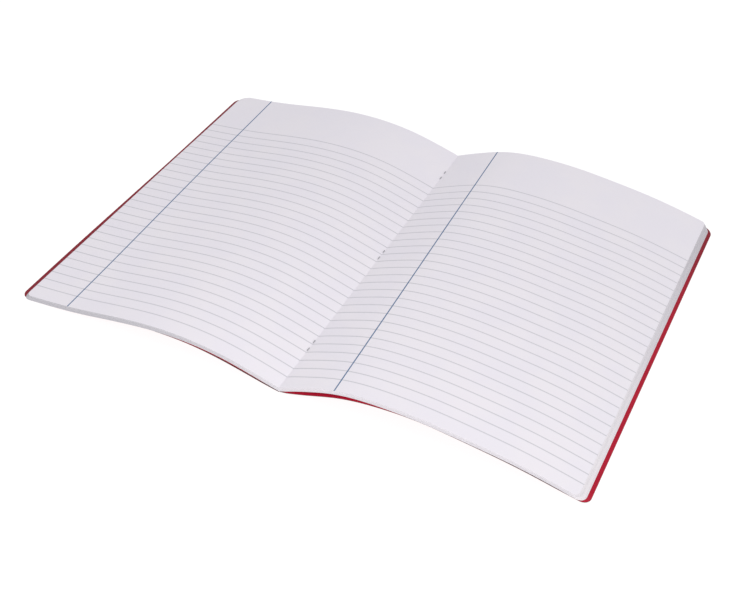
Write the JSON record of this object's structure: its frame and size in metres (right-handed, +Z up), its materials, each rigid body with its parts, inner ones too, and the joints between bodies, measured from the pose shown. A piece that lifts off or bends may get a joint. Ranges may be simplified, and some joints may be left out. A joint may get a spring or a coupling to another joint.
{
  "type": "open composition notebook",
  "caption": "Thin staple-bound ruled notebook with a plain red card cover, lying open at its centre spread; the left half turns over on the fold.",
  "frame": {"origin": "on the surface it lies on, under the middle of the spine fold", "axes": "+X from the fold towards the fore-edge of the right half, +Y along the fold towards the head of the pages, +Z up"},
  "size_m": [0.3686, 0.257, 0.021],
  "materials": {
    "ruled_paper": "uncoated white writing paper with pale grey ruling and a blue margin line",
    "red_card": "thin coated card, deep red on both faces, slightly glossy",
    "staple_wire": "galvanised round stapling wire"
  },
  "bodies": {
    "right_half": {"right_pages": "ruled_paper", "back_cover": "red_card", "staple_top": "staple_wire", "staple_middle": "staple_wire", "staple_bottom": "staple_wire"},
    "left_half": {"left_pages": "ruled_paper", "front_cover": "red_card"}
  },
  "joints": [
    {"name": "spine_fold", "type": "hinge", "parent": "right_half", "child": "left_half", "pos_m": [0, 0, 0.0043], "axis": [0, 1, 0], "range_deg": [0, 140]}
  ]
}
